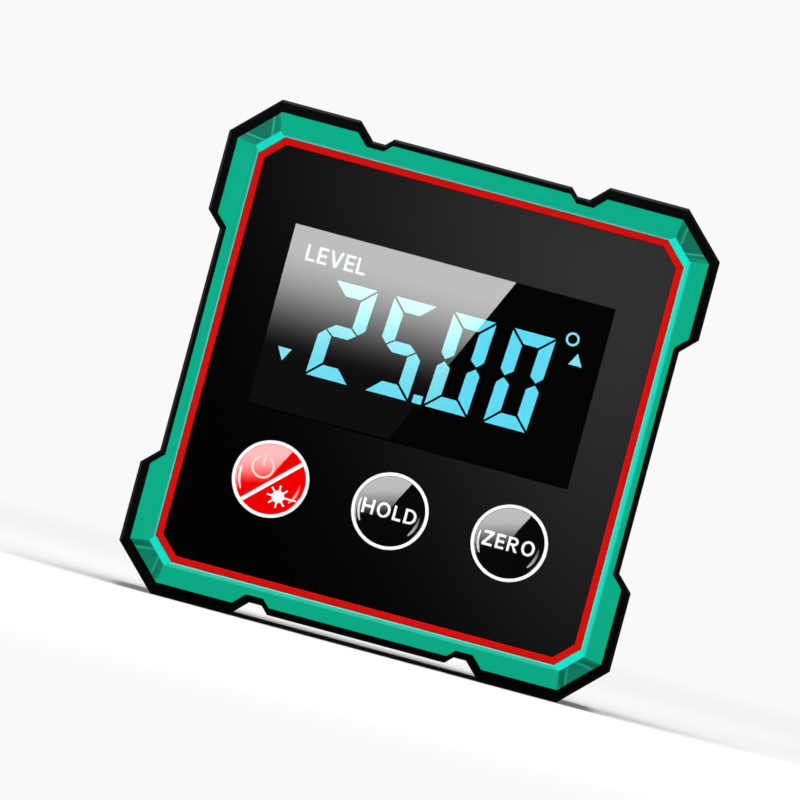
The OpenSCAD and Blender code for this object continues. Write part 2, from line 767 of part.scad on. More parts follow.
// A laser module: a barrel with a lens opening in its nose
module laser(side) color(brass) stand() laser_place(side) difference() {
    bar_x(flank_in_x - laser_len, flank_in_x, laser_d);
    bar_x(flank_in_x - lens_depth, flank_in_x + over, laser_d / 2);
}

// The window in front of a laser
module laser_window(side) color([0.35, 0.03, 0.04]) stand() laser_place(side)
    bar_x(flank_x - window_seat, flank_x - window_seat + laser_window_t, laser_window_d);

// A disc magnet in a foot
module magnet(sx, sz) color(steel) stand()
    translate([sx * magnet_x, magnet_sink, magnet_mid_z + sz * magnet_pitch / 2])
        rotate([-90, 0, 0]) cylinder(d = magnet_d, h = magnet_t);

// A battery cell: its can, and the tip at its positive end
module cell(row) color([0.3, 0.31, 0.33]) stand() translate([0, mid_y + row * cell_y, cell_z])
    rotate([0, 0, row > 0 ? 0 : 180]) {
        end_x = box_half_w - contact_t - contact_tip;
        bar_x(end_x - cell_len, end_x - tip_len, cell_d);
        bar_x(end_x - tip_len - over, end_x, tip_d);
    }

// A contact plate at one end of a cell
module contact_plate(x, y0, y1) box_between(
    [x - contact_t / 2, mid_y + y0, cell_z - cell_d / 2 + contact_lift],
    [x + contact_t / 2, mid_y + y1, box_floor_z]);

// The raised tip on a contact plate, which meets the end of a cell
module contact_boss(row) translate([0, mid_y + row * cell_y, cell_z]) rotate([0, 0, row > 0 ? 0 : 180])
    bar_x(box_half_w - contact_t - contact_tip, box_half_w - contact_t / 2, contact_boss_d);

// The plate that joins the two cells at the left
module bridge_contact() color(steel) stand() {
    contact_plate(-contact_x, -contact_out, contact_out);
    contact_boss(-1);
}

module positive_contact() color(steel) stand() {
    contact_plate(contact_x, contact_in, contact_out);
    contact_boss(1);
}

module negative_contact() color(steel) stand() contact_plate(contact_x, -contact_out, -contact_in);

// A conical spring between a contact plate and the flat end of a cell
module contact_spring(row) color(steel) stand()
    translate([0, mid_y + row * cell_y, cell_z]) rotate([0, 0, row > 0 ? 180 : 0]) {
        turns = 4;
        steps = 14;
        wire_d = 0.6;
        wide = 3.6;
        narrow = 2.2;
        start = box_half_w - contact_t - wire_d / 2;
        length = spring_len - wire_d;
        wire([for (i = [0 : turns * steps])
            let (t = i / (turns * steps), r = wide + (narrow - wide) * t, a = 360 * i / steps)
            [start - length * t, r * cos(a), r * sin(a)]], wire_d, 6, [1, 0, 0]);
    }

// A lead from the battery box to the board, straight at both ends
module battery_lead(s, colour) color(colour) stand() wire(
    [for (t = [0 : 0.125 : 1])
        let (ease = t * t * (3 - 2 * t), z0 = box_floor_z + lead_gap, z1 = board_back_z - lead_gap)
        [
            box_half_w - lead_in - lead_bend * ease,
            mid_y + s * (box_half_h - lead_edge + lead_rise * ease),
            z0 + (z1 - z0) * t
        ]],
    lead_d, 8, [0, 1, 0]);

// A lead from a laser to the board
module laser_lead(side) color([0.1, 0.1, 0.1]) stand() laser_place(side) wire(
    [for (t = [0 : 0.125 : 1]) [
        flank_in_x - laser_len - lead_gap - laser_lead_run * sin(90 * t),
        0,
        (board_back_z - lead_gap - laser_z) * (1 - cos(90 * t))
    ]],
    lead_d, 8, [0, 1, 0]);

main_housing();
back_cover();
battery_door();
front_frame();
accent_ring();
front_panel();
display_window();
collar(-1);  // power_collar
collar(0);  // hold_collar
collar(1);  // zero_collar
push_button(-1, red);  // power_button
push_button(0, black);  // hold_button
push_button(1, black);  // zero_button
plunger(-1);  // power_plunger
plunger(0);  // hold_plunger
plunger(1);  // zero_plunger
switch_body(-1);  // power_switch
switch_body(0);  // hold_switch
switch_body(1);  // zero_switch
display_glass();
display_holder();
backlight();
contact_strip(1);  // upper_contact_strip
contact_strip(-1);  // lower_contact_strip
circuit_board();
chip(0, -chip_down, chip_w, chip_t);  // controller_chip
chip(sensor_right, sensor_up, sensor_w, sensor_t);  // tilt_sensor
timing_crystal();
board_screws();
cover_screws();
laser(-1);  // left_laser
laser(1);  // right_laser
laser_window(-1);  // left_laser_window
laser_window(1);  // right_laser_window
magnet(-1, 1);  // front_left_magnet
magnet(1, 1);  // front_right_magnet
magnet(-1, -1);  // rear_left_magnet
magnet(1, -1);  // rear_right_magnet
cell(1);  // upper_cell
cell(-1);  // lower_cell
bridge_contact();
positive_contact();
negative_contact();
contact_spring(1);  // bridge_spring
contact_spring(-1);  // negative_spring
battery_lead(1, red);  // positive_lead
battery_lead(-1, black);  // negative_lead
laser_lead(-1);  // left_laser_lead
laser_lead(1);  // right_laser_lead
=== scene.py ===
import json
import math

import bmesh
import bpy
from mathutils import Matrix, Vector

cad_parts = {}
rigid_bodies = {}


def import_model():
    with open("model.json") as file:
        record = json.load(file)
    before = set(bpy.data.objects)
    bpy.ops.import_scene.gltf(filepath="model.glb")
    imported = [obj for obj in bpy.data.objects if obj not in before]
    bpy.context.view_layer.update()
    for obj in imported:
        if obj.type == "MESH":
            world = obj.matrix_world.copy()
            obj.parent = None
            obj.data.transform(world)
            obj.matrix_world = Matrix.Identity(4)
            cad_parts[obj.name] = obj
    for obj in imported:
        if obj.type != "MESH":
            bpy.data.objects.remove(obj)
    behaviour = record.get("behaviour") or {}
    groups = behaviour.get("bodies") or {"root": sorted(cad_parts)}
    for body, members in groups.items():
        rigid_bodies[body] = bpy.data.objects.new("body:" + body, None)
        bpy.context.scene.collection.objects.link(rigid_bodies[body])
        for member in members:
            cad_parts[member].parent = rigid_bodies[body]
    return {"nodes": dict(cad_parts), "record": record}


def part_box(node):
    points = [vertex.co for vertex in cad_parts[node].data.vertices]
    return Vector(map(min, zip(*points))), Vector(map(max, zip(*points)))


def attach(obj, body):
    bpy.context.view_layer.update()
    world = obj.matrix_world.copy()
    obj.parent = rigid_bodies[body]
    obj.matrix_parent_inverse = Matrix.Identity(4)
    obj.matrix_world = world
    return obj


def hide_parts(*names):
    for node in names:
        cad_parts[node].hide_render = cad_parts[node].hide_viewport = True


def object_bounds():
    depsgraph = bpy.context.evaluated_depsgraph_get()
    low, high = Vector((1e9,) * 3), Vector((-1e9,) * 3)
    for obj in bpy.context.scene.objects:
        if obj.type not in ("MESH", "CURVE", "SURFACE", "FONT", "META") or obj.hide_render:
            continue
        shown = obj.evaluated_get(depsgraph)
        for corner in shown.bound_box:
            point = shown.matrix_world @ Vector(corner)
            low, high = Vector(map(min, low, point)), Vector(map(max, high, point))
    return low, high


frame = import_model()
cad_low, cad_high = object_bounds()

# Units and names
MM = 0.001
ROOT = "gauge_body"
NODES = frame["nodes"]

# Depths of faces that look to the front, and the height of the body's middle. A place on the face is given in
# millimetres, X to the right and Y up from that middle.
MID_Z = (cad_low.z + cad_high.z) / 2
WINDOW_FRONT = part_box("display_window")[0].y
DISPLAY_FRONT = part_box("display_glass")[0].y
RIM_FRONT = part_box("main_housing")[0].y

# Sizes from the part's source, in millimetres: the frame's pocket with its bevel, the frame's corners, and a
# button's dome and flange
FIT_GAP, RING_CHAMFER, BEVEL_W, BEVEL_CORNER, FRAME_CHAMFER = 0.05, 2.62, 0.55, 0.95, 4.26
DOME_R, DOME_CROWN, BUTTON_FLANGE_T = 4.075, 0.4, 0.7
# The radius of the sphere that the dome is a cap of
DOME_SPHERE = (DOME_R ** 2 + DOME_CROWN ** 2) / (2 * DOME_CROWN)


def half_size(node):
    """Half a node's width and height, in millimetres."""
    low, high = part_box(node)
    return (high.x - low.x) / 2 / MM, (high.z - low.z) / 2 / MM


# The frame's pocket, and the mitre line at one end of a corner facet
RING_HALF, FRAME_HALF = half_size("accent_ring"), half_size("front_frame")
POCKET_W, POCKET_H = RING_HALF[0] + FIT_GAP, RING_HALF[1] + FIT_GAP
MITRE_START = Vector((POCKET_W + BEVEL_W, POCKET_H - RING_CHAMFER - BEVEL_W + math.sqrt(2) * BEVEL_CORNER))
MITRE_END = Vector((FRAME_HALF[0], FRAME_HALF[1] - FRAME_CHAMFER))
MITRE_NORMAL = Vector((MITRE_START.y - MITRE_END.y, MITRE_END.x - MITRE_START.x)).normalized()
# How far a facet's sloped end reaches in from its mitre line
FACET_RUN = 0.85

# The photograph's framing: the image's side and the body's width in pixels, the body's middle, and its lean
IMAGE_PX = 800
BODY_PX = 508.1
MIDDLE_PX = (419.6, 401.1)
LEAN = math.radians(15.07)
LENS_MM = 600.0
SENSOR_MM = 36.0
# The slanting edge of the gloss on the window, from low to high
GLOSS_EDGE = ((-2.4, -5.3), (7.4, 16.5))


# Materials

def new_material(name):
    """An empty node material and its Principled shader."""
    material = bpy.data.materials.new(name)
    material.use_nodes = True
    return material, material.node_tree, material.node_tree.nodes["Principled BSDF"]


def noise(tree, scale, detail=3.0, stretch=None):
    """Noise in the object's own space, with grains about 1/scale metres across."""
    coords = tree.nodes.new("ShaderNodeTexCoord")
    source = coords.outputs["Object"]
    if stretch:
        mapping = tree.nodes.new("ShaderNodeMapping")
        mapping.inputs["Scale"].default_value = stretch
        tree.links.new(source, mapping.inputs["Vector"])
        source = mapping.outputs["Vector"]
    texture = tree.nodes.new("ShaderNodeTexNoise")
    texture.inputs["Scale"].default_value = scale
    texture.inputs["Detail"].default_value = detail
    tree.links.new(source, texture.inputs["Vector"])
    return texture.outputs["Fac"]


def spread(tree, value, low, high, start=0.3, end=0.7, eased=False):
    """A value from start to end mapped onto low to high, evenly or eased at both ends."""
    node = tree.nodes.new("ShaderNodeMapRange")
    node.interpolation_type = "SMOOTHSTEP" if eased else "LINEAR"
    node.inputs["From Min"].default_value = start
    node.inputs["From Max"].default_value = end
    node.inputs["To Min"].default_value = low
    node.inputs["To Max"].default_value = high
    tree.links.new(value, node.inputs["Value"])
    return node.outputs["Result"]


def mixed(tree, factor, first, second):
    """Two colours mixed by a factor. Each is a plain colour or a socket."""
    node = tree.nodes.new("ShaderNodeMix")
    node.data_type = "RGBA"
    tree.links.new(factor, node.inputs["Factor"])
    for socket, colour in ((node.inputs["A"], first), (node.inputs["B"], second)):
        if isinstance(colour, bpy.types.NodeSocket):
            tree.links.new(colour, socket)
        else:
            socket.default_value = (*colour, 1)
    return node.outputs["Result"]


def bump(tree, shader, height, depth):
    """Relief of a real depth, in metres, from a 0 to 1 height."""
    node = tree.nodes.new("ShaderNodeBump")
    node.inputs["Distance"].default_value = depth
    tree.links.new(height, node.inputs["Height"])
    tree.links.new(node.outputs["Normal"], shader.inputs["Normal"])


def calc(tree, operation, first, second=0.0):
    """One step of arithmetic. Each value is a number or a socket."""
    node = tree.nodes.new("ShaderNodeMath")
    node.operation = operation
    for socket, value in zip(node.inputs, (first, second)):
        if isinstance(value, bpy.types.NodeSocket):
            tree.links.new(value, socket)
        else:
            socket.default_value = value
    return node.outputs[0]


def ramp(tree, value, stops):
    """Colours along a 0 to 1 value."""
    node = tree.nodes.new("ShaderNodeValToRGB")
    elements = node.color_ramp.elements
    while len(elements) < len(stops):
        elements.new(1.0)
    for element, (position, colour) in zip(elements, stops):
        element.position = position
        element.color = (*colour, 1)
    tree.links.new(value, node.inputs["Fac"])
    return node.outputs["Color"]


def own_place(tree):
    """The object's own X, Y and Z at each point of it, in metres."""
    coords = tree.nodes.new("ShaderNodeTexCoord")
    split = tree.nodes.new("ShaderNodeSeparateXYZ")
    tree.links.new(coords.outputs["Object"], split.inputs["Vector"])
    return split.outputs


def shade(colour, factor):
    """A colour made darker or lighter."""
    return tuple(channel * factor for channel in colour)


def moulded(name, colour, roughness, grain=4000.0, relief=0.004, level=0.5, cloud=0.06, rim=None):
    """Moulded plastic: a fine grain, slow changes of tone across it, and rim, a darker tone painted on the
    front rim as shade.
    """
    material, tree, shader = new_material(name)
    slow = noise(tree, 90.0, 4.0)
    fine = noise(tree, grain, 2.0)
    tone = mixed(tree, spread(tree, slow, 0, 1), shade(colour, 1 - cloud), shade(colour, 1 + cloud))
    # The front rim is painted darker than the rest, as shade.
    if rim:
        place = own_place(tree)
        at_rim_shade = spread(tree, place["Y"], 1.0, 0.0, RIM_FRONT + 0.2 * MM, RIM_FRONT + 0.6 * MM)
        tone = mixed(tree, at_rim_shade, tone, rim)
    tree.links.new(tone, shader.inputs["Base Color"])
    rough = spread(tree, fine, roughness * 0.9, roughness * 1.1)
    tree.links.new(rough, shader.inputs["Roughness"])
    shader.inputs["Specular IOR Level"].default_value = level
    bump(tree, shader, fine, relief * MM)
    return material


def metal(name, colour, roughness, brush=None):
    """Metal with fine tool marks, drawn out along one axis where it was turned or rolled."""
    material, tree, shader = new_material(name)
    marks = noise(tree, 3000.0, 3.0, brush)
    slow = noise(tree, 300.0, 3.0)
    shader.inputs["Metallic"].default_value = 1.0
    tone = mixed(tree, spread(tree, slow, 0, 1), shade(colour, 0.86), colour)
    tree.links.new(tone, shader.inputs["Base Color"])
    rough = spread(tree, marks, roughness * 0.7, roughness * 1.3)
    tree.links.new(rough, shader.inputs["Roughness"])
    bump(tree, shader, marks, 0.002 * MM)
    return material


def clear_window():
    """The smoked window: it lets a little light through, and its face is polished."""
    material, tree, shader = new_material("window_clear")
    smoke = (0.0012, 0.0012, 0.0014)
    tone = mixed(tree, spread(tree, noise(tree, 60.0), 0, 1), shade(smoke, 0.9), shade(smoke, 1.1))
    tree.links.new(tone, shader.inputs["Base Color"])
    shader.inputs["Roughness"].default_value = 0.0
    shader.inputs["Specular IOR Level"].default_value = 1.0
    shader.inputs["Alpha"].default_value = 0.85
    return material


def lit(name, colour, strength, pale=None):
    """A lit display segment, uneven as a backlight is. pale is its tint at the display's upper left, a
    painted reflection of the window's gloss.
    """
    material, tree, shader = new_material(name)
    material.cycles.emission_sampling = "NONE"
    uneven = noise(tree, 160.0, 2.0)
    shader.inputs["Base Color"].default_value = (0.01, 0.01, 0.01, 1)
    shader.inputs["Roughness"].default_value = 0.4
    glow = mixed(tree, spread(tree, uneven, 0, 1), shade(colour, 0.95), colour)
    # A paler tint at the display's upper left, a painted reflection of the window's gloss.
    if pale:
        place = own_place(tree)
        height = spread(tree, place["Z"], 0.18, 1.0, MID_Z + 0.5 * MM, MID_Z + 10.5 * MM)
        left = spread(tree, place["X"], 1.0, 0.0, 1.5 * MM, 5.5 * MM, True)
        glow = mixed(tree, calc(tree, "MULTIPLY", height, left), glow, pale)
    tree.links.new(glow, shader.inputs["Emission Color"])
    shader.inputs["Emission Strength"].default_value = strength
    return material


def frame_plastic():
    """The frame's teal. Its bevel, corner facets and creases are told apart by their place on the face, and
    light and shade are painted on by place: painted shade on the facets and their sloped ends, and painted
    highlights on the creases, the bevel, its lip and the face beside the right bevel.
    """
    face = (0.0, 0.332, 0.195)
    # The facets' darker teal and the dark band on their sloped ends are painted shade; the upper facets get a
    # darker painted shade.
    facet_shade = (0.0, 0.182, 0.114)
    facet_upper_shade = (0.0, 0.120, 0.074)
    band = (0.0, 0.172, 0.104)
    # A painted highlight along each facet's crease.
    crease_highlight = (0.010, 0.29, 0.19)
    # The bevel's lighter teals are painted highlights, brightest at the right and across the upper corners.
    strip = (0.004, 0.40, 0.27)
    strip_right_highlight = (0.010, 0.58, 0.45)
    strip_corner_highlight, strip_upper_corner_highlight = (0.0, 0.59, 0.46), (0.004, 0.68, 0.53)
    # A pale painted highlight along the bevel's lip.
    lip = (0.18, 0.57, 0.47)
    material, tree, shader = new_material("frame_teal")
    place = own_place(tree)
    u = calc(tree, "MULTIPLY", calc(tree, "ABSOLUTE", place["X"]), 1 / MM)
    up = calc(tree, "SUBTRACT", place["Z"], MID_Z)
    v = calc(tree, "MULTIPLY", calc(tree, "ABSOLUTE", up), 1 / MM)
    # Distance outwards from the pocket that the trim ring lies in
    side = calc(tree, "SUBTRACT", u, POCKET_W)
    end = calc(tree, "SUBTRACT", v, POCKET_H)
    slant = calc(tree, "SUBTRACT", calc(tree, "ADD", u, v), POCKET_W + POCKET_H - RING_CHAMFER)
    slant = calc(tree, "MULTIPLY", slant, math.sqrt(0.5))
    slant = calc(tree, "MULTIPLY", slant, BEVEL_W / BEVEL_CORNER)
    straight = calc(tree, "MAXIMUM", side, end)
    out = calc(tree, "MAXIMUM", straight, slant)
    # Distance into a corner facet from the mitre lines at its two ends
    into = None
    for first, second in ((u, v), (v, u)):
        step = calc(tree, "ADD", calc(tree, "MULTIPLY", first, MITRE_NORMAL[0]),
                    calc(tree, "MULTIPLY", second, MITRE_NORMAL[1]))
        step = calc(tree, "SUBTRACT", step, MITRE_NORMAL.dot(MITRE_START))
        into = step if into is None else calc(tree, "MINIMUM", into, step)
    # How far in from a mitre line the tones below are spread, and the sloped end's share of it
    reach = 1.8
    fall = FACET_RUN / reach
    # The upper half of the face, where the painted shade and highlights are stronger.
    high = spread(tree, place["Z"], 0.0, 1.0, MID_Z - 1 * MM, MID_Z + 1 * MM)
    # The tones from a mitre line into its facet: painted shade on the sloped end and the facet, and a painted
    # highlight on the crease between them. The upper facets are painted darker still.
    corner = ramp(tree, calc(tree, "DIVIDE", into, reach), [
        (0.0, face), (0.03, band), (fall - 0.06, shade(band, 0.94)), (fall - 0.01, crease_highlight),
        (fall + 0.09, crease_highlight), (fall + 0.15, facet_shade), (1.0, facet_shade)])
    deep = spread(tree, into, 0.0, 1.0, FACET_RUN + 0.12, FACET_RUN + 0.26)
    corner = mixed(tree, calc(tree, "MULTIPLY", high, deep), corner, facet_upper_shade)
    # The bevel: painted highlights, lighter at the right and across the corners, with a pale painted
    # highlight on the lip along its straight inner edges
    on_slant = calc(tree, "GREATER_THAN", slant, straight)
    on_right_highlight = calc(tree, "MULTIPLY", calc(tree, "GREATER_THAN", place["X"], 0.0),
                    calc(tree, "GREATER_THAN", side, end))
    bevel = mixed(tree, on_right_highlight, strip, strip_right_highlight)
    bevel = mixed(tree, on_slant, bevel, mixed(tree, high, strip_corner_highlight, strip_upper_corner_highlight))
    on_lip_highlight = calc(tree, "MULTIPLY", spread(tree, out, 1.0, 0.0, 0.06, 0.2),
                  calc(tree, "SUBTRACT", 1.0, on_slant))
    bevel = mixed(tree, on_lip_highlight, bevel, lip)
    # The face beside the right bevel gets a painted highlight too
    glow = calc(tree, "MULTIPLY", on_right_highlight, spread(tree, out, 0.75, 0.0, BEVEL_W, BEVEL_W + 0.25))
    glow = calc(tree, "MULTIPLY", glow, calc(tree, "LESS_THAN", into, 0.0))
    tone = mixed(tree, glow, corner, strip_right_highlight)
    tone = mixed(tree, spread(tree, out, 1.0, 0.0, BEVEL_W - 0.08, BEVEL_W + 0.04), tone, bevel)
    # Slow, faint changes of tone, and a fine grain
    slow = noise(tree, 90.0, 4.0)
    fine = noise(tree, 4500.0, 2.0)
    worn = tree.nodes.new("ShaderNodeMix")
    worn.data_type = "RGBA"
    worn.blend_type = "MULTIPLY"
    tree.links.new(spread(tree, slow, 0.0, 0.12), worn.inputs["Factor"])
    tree.links.new(tone, worn.inputs["A"])
    worn.inputs["B"].default_value = (0.6, 0.6, 0.6, 1)
    tree.links.new(worn.outputs["Result"], shader.inputs["Base Color"])
    tree.links.new(spread(tree, fine, 0.38, 0.5), shader.inputs["Roughness"])
    shader.inputs["Specular IOR Level"].default_value = 0.07
    bump(tree, shader, fine, 0.003 * MM)
    return material


def cell_wrap():
    """A plain battery: a dark wrap, a copper band at the positive end and bare steel ends."""
    material, tree, shader = new_material("cell_wrap")
    place = own_place(tree)
    upper = calc(tree, "GREATER_THAN", place["Z"], MID_Z)
    way = calc(tree, "SUBTRACT", calc(tree, "MULTIPLY", upper, 2.0), 1.0)
    band = spread(tree, calc(tree, "MULTIPLY", place["X"], way), 0.0, 1.0, 9.9 * MM, 10.1 * MM)
    geometry = tree.nodes.new("ShaderNodeNewGeometry")
    facing = tree.nodes.new("ShaderNodeSeparateXYZ")
    tree.links.new(geometry.outputs["Normal"], facing.inputs["Vector"])
    bare = calc(tree, "GREATER_THAN", calc(tree, "ABSOLUTE", facing.outputs["X"]), 0.6)
    slow = noise(tree, 260.0, 3.0)
    tone = mixed(tree, band, (0.012, 0.012, 0.014), (0.52, 0.24, 0.10))
    tone = mixed(tree, bare, tone, (0.62, 0.62, 0.63))
    tree.links.new(tone, shader.inputs["Base Color"])
    tree.links.new(calc(tree, "MAXIMUM", bare, calc(tree, "MULTIPLY", band, 0.85)), shader.inputs["Metallic"])
    tree.links.new(spread(tree, slow, 0.22, 0.32), shader.inputs["Roughness"])
    return material


def laser_red():
    """A red laser window: a dark pupil, a lit ring round it, and a deep red out to the rim."""
    material, tree, shader = new_material("laser_lens")
    low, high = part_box("right_laser_window")
    place = own_place(tree)
    across = calc(tree, "SUBTRACT", place["Y"], (low.y + high.y) / 2)
    up = calc(tree, "SUBTRACT", place["Z"], (low.z + high.z) / 2)
    squares = calc(tree, "ADD", calc(tree, "MULTIPLY", across, across), calc(tree, "MULTIPLY", up, up))
    away = calc(tree, "SQRT", squares)
    tone = ramp(tree, calc(tree, "DIVIDE", away, (high.z - low.z) / 2), [
        (0.0, (0.02, 0.0, 0.0)), (0.24, (0.03, 0.0, 0.0)), (0.32, (0.30, 0.008, 0.008)),
        (0.46, (0.17, 0.004, 0.005)), (0.82, (0.10, 0.002, 0.003)), (1.0, (0.04, 0.001, 0.001))])
    tree.links.new(tone, shader.inputs["Base Color"])
    tree.links.new(spread(tree, noise(tree, 600.0), 0.05, 0.09), shader.inputs["Roughness"])
    return material


# One material for each slot of the record
MATERIALS = {
    # The housing's front rim gets a darker painted shade.
    "housing_black": moulded("housing_black", (0.0085, 0.0085, 0.0088), 0.46, 2600.0, 0.020, level=0.08,
                             rim=(0.0012, 0.0012, 0.0012)),
    "frame_teal": frame_plastic(),
    "trim_red": moulded("trim_red", (0.53, 0.003, 0.002), 0.4, 3000.0, 0.002, level=0.05),
    "panel_black": moulded("panel_black", (0.0003, 0.0003, 0.0003), 0.10, 5000.0, 0.0003, level=0.5),
    "window_clear": clear_window(),
    "collar_white": moulded("collar_white", (0.88, 0.88, 0.88), 0.35, 3000.0, 0.002),
    "button_red": moulded("button_red", (0.72, 0.0, 0.0), 0.03, 2000.0, 0.0, cloud=0.03),
    "button_black": moulded("button_black", (0.002, 0.002, 0.002), 0.03, 2000.0, 0.0),
    "switch_plastic": moulded("switch_plastic", (0.03, 0.03, 0.03), 0.5),
    "display_dark": moulded("display_dark", (0.002, 0.002, 0.003), 0.3, 2000.0, 0.0),
    "holder_white": moulded("holder_white", (0.8, 0.8, 0.78), 0.5),
    "strip_rubber": moulded("strip_rubber", (0.35, 0.35, 0.36), 0.8),
    "board_green": moulded("board_green", (0.01, 0.16, 0.05), 0.35, 1500.0, 0.01),
    "chip_black": moulded("chip_black", (0.02, 0.02, 0.02), 0.6),
    "screw_steel": metal("screw_steel", (0.55, 0.56, 0.58), 0.3),
    "laser_brass": metal("laser_brass", (0.6, 0.45, 0.2), 0.3, (0.1, 1, 1)),
    "laser_lens": laser_red(),
    "magnet_nickel": metal("magnet_nickel", (0.72, 0.72, 0.72), 0.2),
    "cell_wrap": cell_wrap(),
    "contact_steel": metal("contact_steel", (0.7, 0.7, 0.71), 0.3),
    "lead_red": moulded("lead_red", (0.5, 0.02, 0.02), 0.5),
    "lead_black": moulded("lead_black", (0.02, 0.02, 0.02), 0.5),
}
PRINT_WHITE = moulded("print_white", (0.80, 0.80, 0.80), 0.05, 3000.0, 0.0, cloud=0.02)
PRINT_CREAM = moulded("print_cream", (0.74, 0.54, 0.47), 0.3, 3000.0, 0.0, cloud=0.02)
# The digits are painted paler at the upper left, as a reflection.
SEGMENT_CYAN = lit("segment_cyan", (0.125, 0.74, 0.96), 43.0, (0.36, 0.84, 0.88))
SEGMENT_PALE = lit("segment_pale", (0.27, 0.81, 0.96), 42.0)
SEGMENT_WHITE = lit("segment_white", (0.86, 0.98, 0.97), 23.0)


# CAD nodes

# The small radii that moulded, turned and plated edges have, in millimetres
EDGE_RADII = {
    "main_housing": 0.14, "back_cover": 0.14, "battery_door": 0.12, "front_frame": 0.10, "accent_ring": 0.10,
    "power_collar": 0.09, "hold_collar": 0.09, "zero_collar": 0.09, "cover_screws": 0.05,
    "front_left_magnet": 0.15, "front_right_magnet": 0.15,
    "rear_left_magnet": 0.15, "rear_right_magnet": 0.15,
    "left_laser_window": 0.06, "right_laser_window": 0.06, "upper_cell": 0.3, "lower_cell": 0.3,
}


def dress_cad_nodes():
    """Gives each CAD node its slot's material, and rounds the edges of those that have a radius."""
    slot_of = {part["node"]: part["material_slot"] for part in frame["record"]["subparts"]}
    for name, node in NODES.items():
        node.data.materials.clear()
        node.data.materials.append(MATERIALS[slot_of[name]])
        for polygon in node.data.polygons:
            polygon.material_index = 0
        if name in EDGE_RADII:
            weld = node.modifiers.new("weld", "WELD")
            weld.merge_threshold = 0.0005 * MM
            edge = node.modifiers.new("edge", "BEVEL")
            edge.width = EDGE_RADII[name] * MM
            edge.segments = 2
            edge.limit_method = "ANGLE"
            edge.angle_limit = math.radians(25)
            edge.miter_outer = "MITER_ARC"
            edge.harden_normals = True


dress_cad_nodes()


def lathe(name, profile, centre, segments=96):
    """A smooth solid of revolution about an axis along Y. The profile is (radius, depth) pairs in metres."""
    shape = bmesh.new()
    rings = []
    for radius, depth in profile:
        if radius == 0:
            rings.append([shape.verts.new((centre[0], depth, centre[1]))])
            continue
        ring_verts = []
        for i in range(segments):
            angle = 2 * math.pi * i / segments
            ring_verts.append(shape.verts.new((
                centre[0] + radius * math.cos(angle), depth, centre[1] + radius * math.sin(angle))))
        rings.append(ring_verts)
    for first, second in zip(rings, rings[1:]):
        for i in range(segments):
            j = (i + 1) % segments
            corners = [first[i % len(first)], first[j % len(first)],
                       second[j % len(second)], second[i % len(second)]]
            shape.faces.new(list(dict.fromkeys(corners)))
    bmesh.ops.recalc_face_normals(shape, faces=shape.faces)
    for edge in shape.edges:
        edge.smooth = edge.calc_face_angle(0.0) < math.radians(30)
    for face in shape.faces:
        face.smooth = True
    mesh = bpy.data.meshes.new(name)
    shape.to_mesh(mesh)
    shape.free()
    piece = bpy.data.objects.new(name, mesh)
    bpy.context.scene.collection.objects.link(piece)
    return piece


# The caps by their button's name
CAPS = {}


def add_buttons():
    """Each button's cap, with a true dome in place of the solid's facets."""
    # In millimetres: a cap is a little wider than the solid's dome, inside its collar, and its edge is round
    cap_r, edge = DOME_R + 0.08, 0.02
    dome_steps, edge_steps = 32, 6
    for key, slot in (("power", "button_red"), ("hold", "button_black"), ("zero", "button_black")):
        node = f"{key}_button"
        low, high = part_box(node)
        centre = ((low.x + high.x) / 2, (low.z + high.z) / 2)
        flange = (high.x - low.x) / 2
        profile = []
        for i in range(dome_steps + 1):
            radius = (cap_r - edge) * i / dome_steps
            drop = DOME_SPHERE - math.sqrt(DOME_SPHERE ** 2 - radius ** 2)
            profile.append((radius * MM, low.y + drop * MM))
        rim = profile[-1][1]
        for i in range(1, edge_steps + 1):
            angle = math.radians(90 * i / edge_steps)
            radius = cap_r - edge + edge * math.sin(angle)
            profile.append((radius * MM, rim + edge * (1 - math.cos(angle)) * MM))
        lip = high.y - BUTTON_FLANGE_T * MM
        profile += [(cap_r * MM, lip), (flange, lip), (flange, high.y), (0, high.y)]
        cap = lathe(f"{key}_cap", profile, centre)
        cap.data.materials.append(MATERIALS[slot])
        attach(cap, f"{key}_key")
        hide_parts(node)
        CAPS[key] = cap


add_buttons()


# Flat shapes on the face

# The side of the cells that a piece on a dome is cut into, in millimetres
BEND_CELL = 0.5


def arc(cx, cy, rx, ry, start, end, steps=24):
    """Points on an ellipse from one angle to another, in degrees."""
    angles = [math.radians(start + (end - start) * i / steps) for i in range(steps + 1)]
    return [(cx + rx * math.cos(a), cy + ry * math.sin(a)) for a in angles]


def ring(cx, cy, outer, inner, steps=40):
    """The two outlines of a round ring."""
    return [arc(cx, cy, outer, outer, 0, 360, steps)[:-1], arc(cx, cy, inner, inner, 0, 360, steps)[:-1]]


def bar(start, end, width):
    """A straight stroke from one point to another."""
    a, b = Vector(start), Vector(end)
    across = (b - a).normalized().orthogonal() * width / 2
    return [tuple(p) for p in (a + across, b + across, b - across, a - across)]


def chord(cx, cy, radius, angle, offset, width):
    """A band across a circle, at an angle in degrees and off its middle, with ends that follow the circle."""
    low, high = (math.degrees(math.asin((offset + side * width / 2) / radius)) for side in (-1, 1))
    ahead = arc(cx, cy, radius, radius, angle + low, angle + high, 6)
    return ahead + arc(cx, cy, radius, radius, angle + 180 - high, angle + 180 - low, 6)


